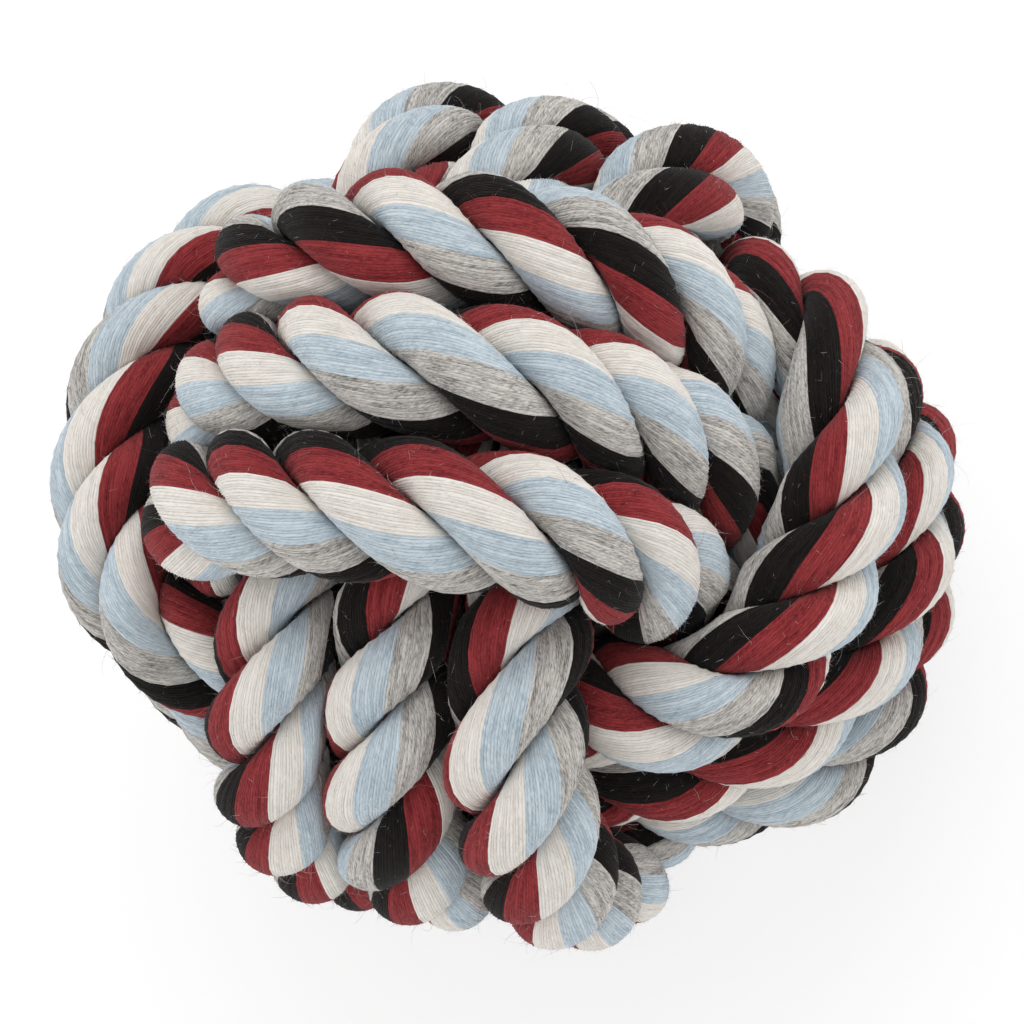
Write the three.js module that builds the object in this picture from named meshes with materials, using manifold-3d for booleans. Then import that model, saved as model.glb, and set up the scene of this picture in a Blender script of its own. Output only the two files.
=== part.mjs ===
// A rope ball for a dog: a monkey's fist of three laps a band, tied from one
// length of three-strand cotton rope round a core of waste yarn.
//
// Each band is a coil of laps. Its laps run over the next band at two sides of
// the ball and under the last band at the other two, so that the three bands
// lock one another. The rope starts under the laps of the second band, winds the
// first, second and third band, and ends in a corner of the hollow.
//
// Millimetres, +Z up. The ball rests on the back laps of its third band, and
// the origin is the middle of the face pressed flat there.

import * as THREE from "three";
import { mergeVertices } from "three/addons/utils/BufferGeometryUtils.js";
import Module from "manifold-3d";

const wasm = await Module();
wasm.setup();

// The rope, as the knot presses it: between the crests of its strands and the
// creases between them.
const ROPE_DIAMETER = 14.6;
const LAP_GAP = 1.2; // least room between two turns of rope
const LAP_SLACK = 1.6; // how much further apart the laps of a band lie
const JOIN_GAP = 0.3; // between pieces that meet
const REST_DEPTH = ROPE_DIAMETER / 7; // how deep the ball's weight presses the rope flat

// The knot.
const LAPS = 3; // in each band
const SQUARENESS = 2.6; // of a lap's outline: 2 is an ellipse, more is squarer
const OVER_SINK = 3; // how much lower the outer laps lie where they run over
const UNDER_SINK = 4; // and where they run under
const CORE_PRESS = 2.7; // how far the core stays inside the highest of them

// The rope's ends, each with a whipping of fine twine.
const TAIL_DIAMETER = 8; // the rope's ends, squeezed between the laps
const WHIPPING_LENGTH = 8;
const WHIPPING_THICKNESS = 1;

// How finely the rope is drawn.
const SIDES = 10;
const RING_STEP = 7; // along the rope
const ANGLE_STEP = 4; // degrees between the points of a lap before it is drawn tight

const ROPE_RADIUS = ROPE_DIAMETER / 2;
const TAIL_RADIUS = TAIL_DIAMETER / 2;
const CONTACT = ROPE_DIAMETER + LAP_GAP; // between the middles of two turns that touch
const LAP_PITCH = CONTACT + LAP_SLACK; // between the middles of two laps of a band
const EDGE = ((LAPS - 1) / 2) * LAP_PITCH; // the outer laps' place across the band
const UNDER_REACH = EDGE + LAP_PITCH; // from the ball's middle to a lap that runs under
const OVER_REACH = UNDER_REACH + LAP_PITCH; // and to one that runs over
const CORE_RADIUS = UNDER_REACH - ROPE_RADIUS - CORE_PRESS;
const STEP = LAP_PITCH / 3; // between the points that the knot is drawn tight with
const NEIGHBOURS = Math.ceil((2.5 * CONTACT) / STEP); // points to each side that don't count as another turn

// How the tying left the bands.
const FIRST_LEAN = -3.7;
const FIRST_MIDDLE = -3.7;
const SECOND_SHIFT = 0.5;
const SECOND_LEAN = 3.5;
const SECOND_MIDDLE = -3.5;
const SECOND_REACH = -2.4;
const SECOND_SLIP = -4;
const THIRD_SPREAD = 1.6;
const THIRD_SLIP = -1;

// Each band in the order of tying. axes are its long axis, along which it runs
// over, its short axis, along which it runs under, and the axis that its laps
// are stacked on. sense is the way round. Angles are in degrees from the long
// axis: a band starts at one, moves over to its next lap round another and to
// each lap after it a turn later, and ends at the last one.
// The rest, in millimetres, is how the tying left it: spread is how much
// wider its laps lie than LAP_PITCH, shift how far the band is off the ball's
// middle, lean how much further on its positive side, and middle how far the
// middle lap is off the middle of the band. reach is added to how far it runs
// over, and slip is how far its outer laps are pulled along it, one each way.
const BANDS = [
  { name: "first_band", axes: [0, 1, 2], sense: 1, start: 115, next: 435, end: 35 + 360 * LAPS, spread: 0, shift: 0, lean: FIRST_LEAN, middle: FIRST_MIDDLE, reach: 0, slip: 0 },
  { name: "second_band", axes: [1, 2, 0], sense: -1, start: 65, next: 405, end: 35 + 360 * LAPS, spread: 0, shift: SECOND_SHIFT, lean: SECOND_LEAN, middle: SECOND_MIDDLE, reach: SECOND_REACH, slip: SECOND_SLIP },
  { name: "third_band", axes: [2, 0, 1], sense: 1, start: 245, next: 585, end: 220 + 360 * LAPS, spread: THIRD_SPREAD, shift: 0, lean: 0, middle: 0, reach: 0, slip: THIRD_SLIP },
];
const MOVE_OVER = 90; // degrees that it takes to move over to the next lap

// Drawing the knot tight.
const ROUNDS = 400;
const LAST_HELD = 240; // the round by which the laps are let go
const HOLD = 0.25; // pull to its own lap, of the way back in a round
const LOOSE_HOLD = 0.15; // share of that pull where the rope runs under
const STIFFNESS = 0.04;
const EVENING = 0.3; // how far points slide in a round to lie evenly along the rope

const ease = (x) => THREE.MathUtils.smoothstep(x, 0, 1);
const power = (x, p) => Math.sign(x) * Math.abs(x) ** p;

/** A point from its places along a band's long, short and stack axes. */
function inBand(band, u, v, w) {
  const p = [0, 0, 0];
  [u, v * band.sense, w].forEach((x, i) => (p[band.axes[i]] = x));
  return new THREE.Vector3(...p);
}

/** The laps of a band, with hold, which is 1 where a lap runs over and 0 where it runs under. */
function lapPoints(band) {
  const points = [];
  for (let angle = band.start; angle <= band.end; angle += ANGLE_STEP) {
    let place = (LAPS - 1) / 2;
    for (let k = 0; k < LAPS - 1; k++)
      place -= ease((angle - band.next - 360 * k) / MOVE_OVER + 0.5);
    const c = Math.cos(THREE.MathUtils.degToRad(angle));
    const s = Math.sin(THREE.MathUtils.degToRad(angle));
    const over = OVER_REACH + band.reach - OVER_SINK * place ** 2;
    const u = over * power(c, 2 / SQUARENESS) + band.slip * place;
    const v = (UNDER_REACH - UNDER_SINK * place ** 2) * power(s, 2 / SQUARENESS);
    const w = place * (LAP_PITCH + band.spread) + band.shift + band.lean * c + band.middle * (1 - place ** 2);
    points.push({ at: inBand(band, u, v, w), hold: c * c, radius: ROPE_RADIUS });
  }
  return points;
}

/** The turn from the end of a band, over the corner, to the start of the next. */
const turn = (band) =>
  [
    [UNDER_REACH, UNDER_REACH + 0.1 * LAP_PITCH, -EDGE - 0.3 * LAP_PITCH],
    [EDGE + 0.3 * LAP_PITCH, UNDER_REACH + 0.25 * LAP_PITCH, -EDGE - 0.7 * LAP_PITCH],
  ].map((p) => ({ at: inBand(band, ...p), hold: 0, radius: ROPE_RADIUS }));

/** The rope's two ends from the tip: the first lies under the second band's laps, the last in a corner of the hollow. */
const TAILS = [
  [
    [0.1 * LAP_PITCH, UNDER_REACH - 0.25 * LAP_PITCH, EDGE + 0.1 * LAP_PITCH],
    [-0.45 * LAP_PITCH, UNDER_REACH - 0.2 * LAP_PITCH, EDGE + 0.1 * LAP_PITCH],
  ].map((p) => inBand(BANDS[0], ...p)),
  [
    [-EDGE - 0.15 * LAP_PITCH, -EDGE - 0.15 * LAP_PITCH, -EDGE - 0.15 * LAP_PITCH],
    [0.3 * LAP_PITCH - UNDER_REACH, 0.4 * LAP_PITCH - UNDER_REACH, -EDGE - 0.3 * LAP_PITCH],
  ].map((p) => inBand(BANDS[2], ...p)),
].map((points) => points.map((at) => ({ at, hold: 0, radius: TAIL_RADIUS })));

/** Points at even steps along the straight lines between the given ones. */
function evenly(points, step) {
  const far = [0];
  for (let i = 1; i < points.length; i++)
    far.push(far[i - 1] + points[i].at.distanceTo(points[i - 1].at));
  const count = Math.round(far.at(-1) / step);
  let i = 0;
  return Array.from({ length: count + 1 }, (_, k) => {
    const here = (far.at(-1) * k) / count;
    while (i < points.length - 2 && far[i + 1] < here) i++;
    const f = (here - far[i]) / (far[i + 1] - far[i]);
    const [a, b] = [points[i], points[i + 1]];
    return {
      at: a.at.clone().lerp(b.at, f),
      hold: THREE.MathUtils.lerp(a.hold, b.hold, f),
      radius: THREE.MathUtils.lerp(a.radius, b.radius, f),
    };
  });
}

/**
 * Draws the knot tight. In each round every point goes a little back to its own
 * lap, the rope straightens by its stiffness, and turns that come too close push
 * each other apart. None goes into the core.
 */
function drawTight(points) {
  const at = points.map((p) => p.at.clone());
  for (let round = 0; round < ROUNDS; round++) {
    const held = HOLD * Math.max(0, 1 - round / LAST_HELD);
    at.forEach((p, i) =>
      p.lerp(points[i].at, held * THREE.MathUtils.lerp(LOOSE_HOLD, 1, points[i].hold)),
    );
    const bent = at.map((p, i) => {
      if (i < 1 || i > at.length - 2) return p;
      const [a, b] = [at[i - 1], at[i + 1]];
      const [c, d] = [at[i - 2] ?? a.clone().lerp(p, -1), at[i + 2] ?? b.clone().lerp(p, -1)];
      const along = b.clone().sub(a).normalize();
      const uneven = a.clone().lerp(b, 0.5).sub(p).dot(along);
      const spring = a.clone().add(b).multiplyScalar(4).sub(c).sub(d).addScaledVector(p, -6);
      return p.clone().addScaledVector(spring, STIFFNESS).addScaledVector(along, uneven * EVENING);
    });
    const push = bent.map(() => new THREE.Vector3());
    const touches = bent.map(() => 0);
    for (let i = 0; i < bent.length; i++)
      for (let j = i + NEIGHBOURS + 1; j < bent.length; j++) {
        const apart = bent[i].distanceTo(bent[j]);
        const contact = points[i].radius + points[j].radius + LAP_GAP;
        if (apart >= contact) continue;
        const way = bent[i].clone().sub(bent[j]).multiplyScalar((contact - apart) / apart / 2);
        push[i].add(way);
        push[j].sub(way);
        touches[i]++;
        touches[j]++;
      }
    at.forEach((p, i) => {
      p.copy(bent[i]).addScaledVector(push[i], 1 / Math.max(1, touches[i]));
      p.setLength(Math.max(p.length(), CORE_RADIUS + JOIN_GAP + points[i].radius));
    });
  }
  return at;
}

/** The rope's centre line from end to end, and the points along it where its pieces meet. */
function tie() {
  const laps = BANDS.map(lapPoints);
  const stretches = [
    TAILS[0],
    laps[0],
    turn(BANDS[0]),
    laps[1],
    turn(BANDS[1]),
    laps[2],
    TAILS[1].reverse(),
  ];
  const loose = evenly(stretches.flat(), STEP);
  const places = [laps[0][0], stretches[2][1], stretches[4][1], laps[2].at(-1)];
  const nearest = (p) =>
    loose.reduce((best, q, i) => (q.at.distanceTo(p.at) < loose[best].at.distanceTo(p.at) ? i : best), 0);
  return { centre: drawTight(loose), radii: loose.map((p) => p.radius), cuts: places.map(nearest) };
}

const { centre, radii, cuts } = tie();
const route = new THREE.CatmullRomCurve3(centre, false, "centripetal");
route.arcLengthDivisions = 8 * (centre.length - 1);
const ROPE_LENGTH = route.getLength();
const CUTS = cuts.map((i) => route.getLengths()[8 * i]);
const LOWEST = Math.min(...centre.map((p) => p.z)) - ROPE_RADIUS;
const REST_PLANE = LOWEST + REST_DEPTH;

/** The rope's radius at a distance along it. */
function radiusAt(distance) {
  const place = route.getUtoTmapping(distance / ROPE_LENGTH) * (centre.length - 1);
  const i = Math.min(Math.floor(place), centre.length - 2);
  return THREE.MathUtils.lerp(radii[i], radii[i + 1], place - i);
}

/** Distances from one to another at even steps. */
function steps(from, to, step = RING_STEP) {
  const count = Math.max(1, Math.round(Math.abs(to - from) / step));
  return Array.from({ length: count + 1 }, (_, k) => THREE.MathUtils.lerp(from, to, k / count));
}

/** Rings of points round the rope at the given distances, each turned as little as it can be from the last. */
function rings(distances, radius = radiusAt) {
  const side = new THREE.Vector3(0, 0, 1);
  return distances.map((d) => {
    const middle = route.getPointAt(d / ROPE_LENGTH);
    const along = route.getTangentAt(d / ROPE_LENGTH);
    side.addScaledVector(along, -side.dot(along)).normalize();
    const other = along.clone().cross(side);
    return Array.from({ length: SIDES }, (_, k) => {
      const angle = (2 * Math.PI * k) / SIDES;
      return middle
        .clone()
        .addScaledVector(side, radius(d) * Math.cos(angle))
        .addScaledVector(other, radius(d) * Math.sin(angle));
    });
  });
}

/** The surface through a row of rings, closed by end faces or, as a sleeve, by joining the last ring to the first. */
function skin(row, sleeve = false) {
  const faces = [];
  const vertex = (i, k) => (i % row.length) * SIDES + (k % SIDES);
  for (let i = 0; i < row.length - (sleeve ? 0 : 1); i++)
    for (let k = 0; k < SIDES; k++) {
      const [a, b, c, d] = [vertex(i, k), vertex(i, k + 1), vertex(i + 1, k), vertex(i + 1, k + 1)];
      faces.push(a, b, d, a, d, c);
    }
  if (!sleeve)
    for (let k = 1; k < SIDES - 1; k++) {
      faces.push(vertex(0, 0), vertex(0, k + 1), vertex(0, k));
      const last = row.length - 1;
      faces.push(vertex(last, 0), vertex(last, k), vertex(last, k + 1));
    }
  const geometry = new THREE.BufferGeometry().setFromPoints(row.flat());
  geometry.setIndex(faces);
  geometry.computeVertexNormals();
  return geometry;
}

/** A band's tube from one cut to the next. */
function tube(from, to) {
  return skin(rings(steps(from + JOIN_GAP / 2, to - JOIN_GAP / 2)));
}

/** An end of the rope from its tip, drawn in under its whipping, to the cut. */
function tailTube(tip, cut) {
  const way = Math.sign(cut - tip);
  const seat = tip + way * (WHIPPING_LENGTH + JOIN_GAP);
  const whipped = rings([tip, seat], () => TAIL_RADIUS - WHIPPING_THICKNESS - JOIN_GAP);
  const free = rings(steps(seat + way * JOIN_GAP, cut - (way * JOIN_GAP) / 2));
  const row = [...whipped, ...free];
  return skin(way > 0 ? row : row.reverse());
}

/** The twine wound round an end of the rope, as one sleeve. */
function whipping(tip, cut) {
  const way = Math.sign(cut - tip);
  const distances = steps(...[tip, tip + way * WHIPPING_LENGTH].sort((a, b) => a - b));
  const outside = rings(distances, () => TAIL_RADIUS);
  const inside = rings(distances, () => TAIL_RADIUS - WHIPPING_THICKNESS);
  return skin([...outside, ...inside.reverse()], true);
}

/** A geometry as a solid that can be cut. */
function solid(geometry) {
  return new wasm.Manifold(
    new wasm.Mesh({
      numProp: 3,
      vertProperties: new Float32Array(geometry.getAttribute("position").array),
      triVerts: new Uint32Array(geometry.index.array),
    }),
  );
}

/** The band pressed flat where the ball rests on it. */
function pressedFlat(geometry) {
  const size = 4 * OVER_REACH;
  const ground = new THREE.BoxGeometry(size, size, size);
  ground.deleteAttribute("normal");
  ground.deleteAttribute("uv");
  ground.translate(0, 0, REST_PLANE - size / 2);
  const cut = solid(geometry).subtract(solid(mergeVertices(ground))).getMesh();
  const made = new THREE.BufferGeometry();
  made.setAttribute("position", new THREE.BufferAttribute(cut.vertProperties, 3));
  made.setIndex(new THREE.BufferAttribute(cut.triVerts, 1));
  made.computeVertexNormals();
  return made;
}

/** The least room between two turns of the tube, measured on points four to a step. */
function leastGap() {
  const distances = steps(0, ROPE_LENGTH, STEP);
  const middles = distances.map((d) => ({ at: route.getPointAt(d / ROPE_LENGTH), radius: radiusAt(d) }));
  const fine = evenly(middles, STEP / 4);
  let found = Infinity;
  for (let i = 0; i < fine.length; i++)
    for (let j = i + 4 * NEIGHBOURS; j < fine.length; j++)
      found = Math.min(found, fine[i].at.distanceTo(fine[j].at) - fine[i].radius - fine[j].radius);
  return found;
}

const rope = () => new THREE.MeshStandardMaterial({ color: 0x8f878a, roughness: 0.95, metalness: 0 });
const twine = () => new THREE.MeshStandardMaterial({ color: 0xe4ddd0, roughness: 0.9, metalness: 0 });
const waste = () => new THREE.MeshStandardMaterial({ color: 0xcfc8bf, roughness: 1, metalness: 0 });

const ball = new THREE.Group();
function piece(name, geometry, material) {
  const mesh = new THREE.Mesh(geometry, material);
  mesh.name = name;
  ball.add(mesh);
}

piece("core", new THREE.SphereGeometry(CORE_RADIUS, 24, 14), waste());
piece("start_whipping", whipping(0, CUTS[0]), twine());
piece("start_tail", tailTube(0, CUTS[0]), rope());
piece("first_band", tube(CUTS[0], CUTS[1]), rope());
piece("second_band", tube(CUTS[1], CUTS[2]), rope());
piece("third_band", pressedFlat(tube(CUTS[2], CUTS[3])), rope());
piece("finish_tail", tailTube(ROPE_LENGTH, CUTS[3]), rope());
piece("finish_whipping", whipping(ROPE_LENGTH, CUTS[3]), twine());
ball.position.z = -REST_PLANE;

console.log(`rope ${ROPE_LENGTH.toFixed(0)} mm, least gap between its turns ${leastGap().toFixed(2)} mm`);

const part = new THREE.Group();
part.add(ball);
export default part;
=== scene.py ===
"""A rope dog toy: one length of three-strand cotton rope tied as a monkey's fist.

The rope's route is laid and drawn tight as it is in the part's solids. Each of the
rope's three strands is then a surface of two parameters, the distance along the rope
and the place round the strand, whose columns follow the yarns, so that a yarn keeps
its colour along its whole length.

Lengths are millimetres from the ball's middle until a mesh is written. Meshes are in
metres, from the floor under the ball.
"""

from __future__ import annotations

import logging
import math
from dataclasses import dataclass, field
from enum import Enum

import bpy
import numpy as np
from mathutils import Matrix

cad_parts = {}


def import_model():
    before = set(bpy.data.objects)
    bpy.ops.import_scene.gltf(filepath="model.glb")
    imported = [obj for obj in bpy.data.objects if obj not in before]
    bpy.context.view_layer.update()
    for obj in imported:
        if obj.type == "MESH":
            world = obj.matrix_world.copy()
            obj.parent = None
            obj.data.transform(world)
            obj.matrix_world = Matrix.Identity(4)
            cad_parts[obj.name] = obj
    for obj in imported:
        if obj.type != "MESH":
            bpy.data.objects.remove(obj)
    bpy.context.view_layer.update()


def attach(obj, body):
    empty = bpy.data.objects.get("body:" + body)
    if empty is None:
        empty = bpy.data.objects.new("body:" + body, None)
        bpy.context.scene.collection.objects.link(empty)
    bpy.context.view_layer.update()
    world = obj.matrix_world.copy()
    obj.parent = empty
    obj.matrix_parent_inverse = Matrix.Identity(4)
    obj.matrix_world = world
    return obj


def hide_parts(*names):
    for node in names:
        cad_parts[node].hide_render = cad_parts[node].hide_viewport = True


LOG = logging.getLogger("rope_ball")
METRES = 0.001
TURN = 2 * math.pi
THIRD = TURN / 3
COS_60, SIN_60 = 0.5, math.sqrt(0.75)
Array = np.ndarray
Socket = bpy.types.NodeSocket
Triple = tuple[float, float, float]


def unit(vectors: Array) -> Array:
    """Vectors along the last axis, made one long."""
    return vectors / np.linalg.norm(vectors, axis=-1, keepdims=True)


def dot(a: Array, b: Array) -> Array:
    """Scalar product along the last axis, which stays as an axis of one."""
    return (a * b).sum(-1, keepdims=True)


def square_to(ahead: Array, vectors: Array) -> Array:
    """The part of vectors that is square to unit vectors ahead, made one long."""
    return unit(vectors - dot(vectors, ahead) * ahead)


def around(angle: Array, first: Array, second: Array) -> Array:
    """First times the angle's cosine plus second times its sine."""
    return np.cos(angle)[..., None] * first + np.sin(angle)[..., None] * second


def distances(points: Array) -> Array:
    """Each point's distance from the first, along the line through all of them."""
    gone = np.linalg.norm(np.diff(points, axis=0), axis=1)
    return np.concatenate([[0.0], np.cumsum(gone)])


def rows_at(here: Array, far: Array, rows: Array) -> Array:
    """Rows at distances along a line, in proportion between the rows known at far."""
    return np.column_stack([np.interp(here, far, column) for column in rows.T])


def signed_power(x: Array, power: float) -> Array:
    """x raised to a power, with its sign kept."""
    return np.sign(x) * np.abs(x) ** power


def ease(x: Array) -> Array:
    """0 up to 0, 1 from 1 on, and the cubic 3x^2 - 2x^3 between them."""
    x = np.clip(x, 0.0, 1.0)
    return x * x * (3 - 2 * x)


def over(x: Array, softness: float) -> Array:
    """How far x is over 0, rounded off: half of x plus the root of x^2 + softness^2."""
    return 0.5 * (x + np.sqrt(x * x + softness * softness))


def smooth(values: Array, width: float) -> Array:
    """Running mean of rows under a bell curve, which is cut off at four widths.

    Args:
        values: rows along the first axis; rows past each end are mirrored through it.
        width: standard deviation of the bell curve, in rows.

    Returns:
        Array of the same shape.
    """
    reach = int(4 * width) + 1
    bell = np.exp(-0.5 * (np.arange(-reach, reach + 1) / width) ** 2)
    bell /= bell.sum()
    flat = values.reshape(len(values), -1)
    before = 2 * flat[0] - flat[reach:0:-1]
    after = 2 * flat[-1] - flat[-2 : -reach - 2 : -1]
    rows = np.vstack([before, flat, after])
    done = [np.convolve(column, bell, "valid") for column in rows.T]
    return np.column_stack(done).reshape(values.shape)


@dataclass(frozen=True)
class Band:
    """Three laps of the knot that lie side by side.

    Attributes:
        axes: the ball's axes along the band's long way, its short way and across its laps.
        sense: which way round the laps run.
        start: degrees round the first lap where the band begins.
        next_lap: degrees where the rope moves over to the second lap.
        end: degrees where the band ends.
        spread: what is added to the distance between laps.
        shift: how far the whole band stands to a side.
        lean: how far it leans over at the far ends of its long way.
        middle: how far its middle lap stands to a side.
        reach: what is added to its long way.
        slip: how far its outer laps are pulled along it, one each way.
    """

    axes: tuple[int, int, int]
    sense: int
    start: float
    next_lap: float
    end: float
    spread: float = 0.0
    shift: float = 0.0
    lean: float = 0.0
    middle: float = 0.0
    reach: float = 0.0
    slip: float = 0.0

    def turned(self, local: Array) -> Array:
        """Points given along the band's own axes, turned into the ball's."""
        return (local * (1, self.sense, 1))[:, np.argsort(self.axes)]


BANDS = (
    Band((0, 1, 2), sense=1, start=115, next_lap=435, end=1115, lean=-3.7, middle=-3.7),
    Band(
        (1, 2, 0), sense=-1, start=65, next_lap=405, end=1115,
        shift=0.5, lean=3.5, middle=-3.5, reach=-2.4, slip=-4.0,
    ),
    Band((2, 0, 1), sense=1, start=245, next_lap=585, end=1300, spread=1.6, slip=-1.0),
)

# Points that no lap holds, in lap pitches along a band's own axes: on the way to the
# next band, at the rope's first end and at its last.
TO_NEXT_BAND = ((2.0, 2.1, -1.3), (1.3, 2.25, -1.7))
FIRST_END = ((0.1, 1.75, 1.1), (-0.45, 1.8, 1.1))
LAST_END = ((-1.7, -1.6, -1.3), (-1.15, -1.15, -1.15))


@dataclass
class Route:
    """The rope's middle line, in even steps, with its directions.

    Attributes:
        at: points.
        along: distance of each point from the rope's first end.
        ahead: unit vectors along the rope.
        out: unit vectors away from the ball's middle, square to ahead.
        side: unit vectors square to both.
        girth: share of the rope's full thickness.
        lap_along: for each band, lap angles and their distances along the rope.
        cuts: distances along the rope where its tails and bands meet.
        floor: height of the floor.
    """

    at: Array
    along: Array
    ahead: Array
    out: Array
    side: Array
    girth: Array
    lap_along: list[tuple[Array, Array]]
    cuts: Array
    floor: float

    def distance(self, band: int, angle: float) -> float:
        """Distance along the rope of an angle round a band's laps."""
        return float(np.interp(angle, *self.lap_along[band]))

    def angle_of(self, eye: Array) -> Array:
        """Angle round the rope, from out towards side, that faces a point."""
        sight = eye - self.at
        return np.arctan2(dot(sight, self.side), dot(sight, self.out))[:, 0]


@dataclass
class Knot:
    """The monkey's fist: where the rope runs, drawn tight round its core.

    Attributes:
        pressed: the rope's diameter as the knot presses it.
        gap: least room between two turns.
        slack: how much further apart the laps of a band lie.
        squareness: of a lap's outline: 2 is an ellipse, more is squarer.
        over_sink, under_sink: how much lower outer laps lie where they run over or under.
        core_press: how far the core stays inside the laps that run under.
        tail: diameter of the rope's ends.
        move_over: degrees in which the rope moves over to the next lap.
        last_held: round of drawing tight by which the laps are let go.
        hold, loose_hold: pull to its lap where the rope runs over, and its share elsewhere.
        same_turn: contacts along the rope within which points are one turn.
        look_every, look_past: how often, and how far past contact, near turns are sought.
        line_width, turn_width: smoothing of the route, and of its directions and girth.
    """

    pressed: float = 14.6
    gap: float = 1.2
    slack: float = 1.6
    squareness: float = 2.6
    over_sink: float = 3.0
    under_sink: float = 4.0
    core_press: float = 2.7
    join_gap: float = 0.3
    tail: float = 8.0
    whipping_length: float = 8.0
    twine: float = 1.0
    move_over: float = 90.0
    angle_step: float = 4.0
    rounds: int = 400
    last_held: int = 240
    hold: float = 0.25
    loose_hold: float = 0.15
    stiffness: float = 0.04
    evening: float = 0.3
    same_turn: float = 2.5
    look_every: int = 20
    look_past: float = 7.0
    curve_steps: int = 8
    step: float = 1.25
    line_width: float = 2.5
    turn_width: float = 3.0

    @property
    def contact(self) -> float:
        """Distance between the middle lines of two turns that touch."""
        return self.pressed + self.gap

    @property
    def pitch(self) -> float:
        """Distance between the middle lines of two laps."""
        return self.contact + self.slack

    @property
    def drawn_step(self) -> float:
        """Distance between the points that the knot is drawn tight with."""
        return self.pitch / 3

    @property
    def rest_depth(self) -> float:
        """How deep the ball's weight presses the rope flat."""
        return self.pressed / 7

    @property
    def core_radius(self) -> float:
        """Radius of the core that the laps press into."""
        return 2 * self.pitch - self.pressed / 2 - self.core_press

    def laps(self, band: Band) -> Array:
        """A band's laps before they are drawn tight.

        Each lap is a squared oval: the long way is the cosine and the short way the sine
        of the lap angle, each raised to 2 / squareness with its sign kept. The place
        across the laps goes from 1 to 0 to -1 as the rope moves over from lap to lap.

        Args:
            band: the band.

        Returns:
            Rows of x, y, z, hold, radius and angle.
        """
        count = int((band.end - band.start) / self.angle_step) + 1
        angle = band.start + self.angle_step * np.arange(count)
        place = np.ones(count)
        for middle in (band.next_lap, band.next_lap + 360):
            place -= ease((angle - middle) / self.move_over + 0.5)
        c, s = np.cos(np.radians(angle)), np.sin(np.radians(angle))
        power = 2 / self.squareness
        long_way = 3 * self.pitch + band.reach - self.over_sink * place**2
        short_way = 2 * self.pitch - self.under_sink * place**2
        beside = place * (self.pitch + band.spread) + band.shift + band.lean * c
        local = np.column_stack(
            [
                long_way * signed_power(c, power) + band.slip * place,
                short_way * signed_power(s, power),
                beside + band.middle * (1 - place**2),
            ]
        )
        radius = np.full(count, self.pressed / 2)
        return np.column_stack([band.turned(local), c * c, radius, angle])

    def loose(self) -> tuple[Array, Array, Array]:
        """The whole route before it is drawn tight: tail, laps, turns, laps and tail.

        Returns:
            Rows of x, y, z, hold, radius and angle in even steps, each row's band, and
            the rows where the rope is divided.
        """

        def unheld(band: int, points: tuple[Triple, ...], diameter: float) -> Array:
            """Rows for points that no lap holds."""
            at = BANDS[band].turned(self.pitch * np.array(points))
            return np.column_stack([at, np.tile((0, diameter / 2, -1), (len(at), 1))])

        runs = [
            (unheld(0, FIRST_END, self.tail), 0),
            (self.laps(BANDS[0]), 0),
            (unheld(0, TO_NEXT_BAND, self.pressed), 0),
            (self.laps(BANDS[1]), 1),
            (unheld(1, TO_NEXT_BAND, self.pressed), 1),
            (self.laps(BANDS[2]), 2),
            (unheld(2, LAST_END, self.tail), 2),
        ]
        raw = np.vstack([np.column_stack([r, np.full(len(r), b)]) for r, b in runs])
        far = distances(raw[:, :3])
        count = round(far[-1] / self.drawn_step)
        even = rows_at(far[-1] * np.arange(count + 1) / count, far, raw)
        ends = np.cumsum([len(run) for run, _ in runs])
        places = (ends[0], ends[1] + 1, ends[3] + 1, ends[5] - 1)
        cuts = np.rint(far[list(places)] / far[-1] * count).astype(int)
        return even[:, :6], even[:, 6], cuts

    def tight(self, loose: Array) -> Array:
        """Draws the route tight.

        In every round the points are held towards where they were laid, less and less;
        the rope straightens by its stiffness (the fourth difference of its points) and
        evens its steps; turns that are too close push each other apart by half of what
        they overlap; and none goes into the core.

        Args:
            loose: rows of x, y, z, hold, radius.

        Returns:
            The points.
        """
        laid, radius = loose[:, :3], loose[:, 4]
        at, count = laid.copy(), len(loose)
        low = self.core_radius + self.join_gap + radius
        neighbours = math.ceil(self.same_turn * self.contact / self.drawn_step)
        one, other = np.triu_indices(count, neighbours + 1)
        pull = self.loose_hold + (1 - self.loose_hold) * loose[:, 3]
        for r in range(self.rounds):
            hold = self.hold * max(0.0, 1 - r / self.last_held)
            at = at + (laid - at) * (hold * pull)[:, None]
            a, b, m = at[:-2], at[2:], at[1:-1]
            c = np.vstack([2 * at[0] - at[1], at[:-3]])
            d = np.vstack([at[3:], 2 * at[-1] - at[-2]])
            bent = 4 * (a + b) - c - d - 6 * m
            way = unit(b - a)
            uneven = dot((a + b) / 2 - m, way)
            at[1:-1] = m + bent * self.stiffness + way * uneven * self.evening
            if r % self.look_every == 0:
                apart = np.linalg.norm(at[one] - at[other], axis=1)
                near = apart < self.contact + self.look_past
                near_one, near_other = one[near], other[near]
                contact = radius[near_one] + radius[near_other] + self.gap
            between = at[near_one] - at[near_other]
            apart = np.linalg.norm(between, axis=1)
            hit = apart < contact
            i, j = near_one[hit], near_other[hit]
            push = between[hit] * ((contact - apart)[hit] / apart[hit] / 2)[:, None]
            moved = [np.bincount(i, p, count) - np.bincount(j, p, count) for p in push.T]
            touches = np.bincount(i, minlength=count) + np.bincount(j, minlength=count)
            at = at + np.column_stack(moved) / np.maximum(1, touches)[:, None]
            reach = np.linalg.norm(at, axis=1)
            at *= (np.maximum(reach, low) / reach)[:, None]
        return at

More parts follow.
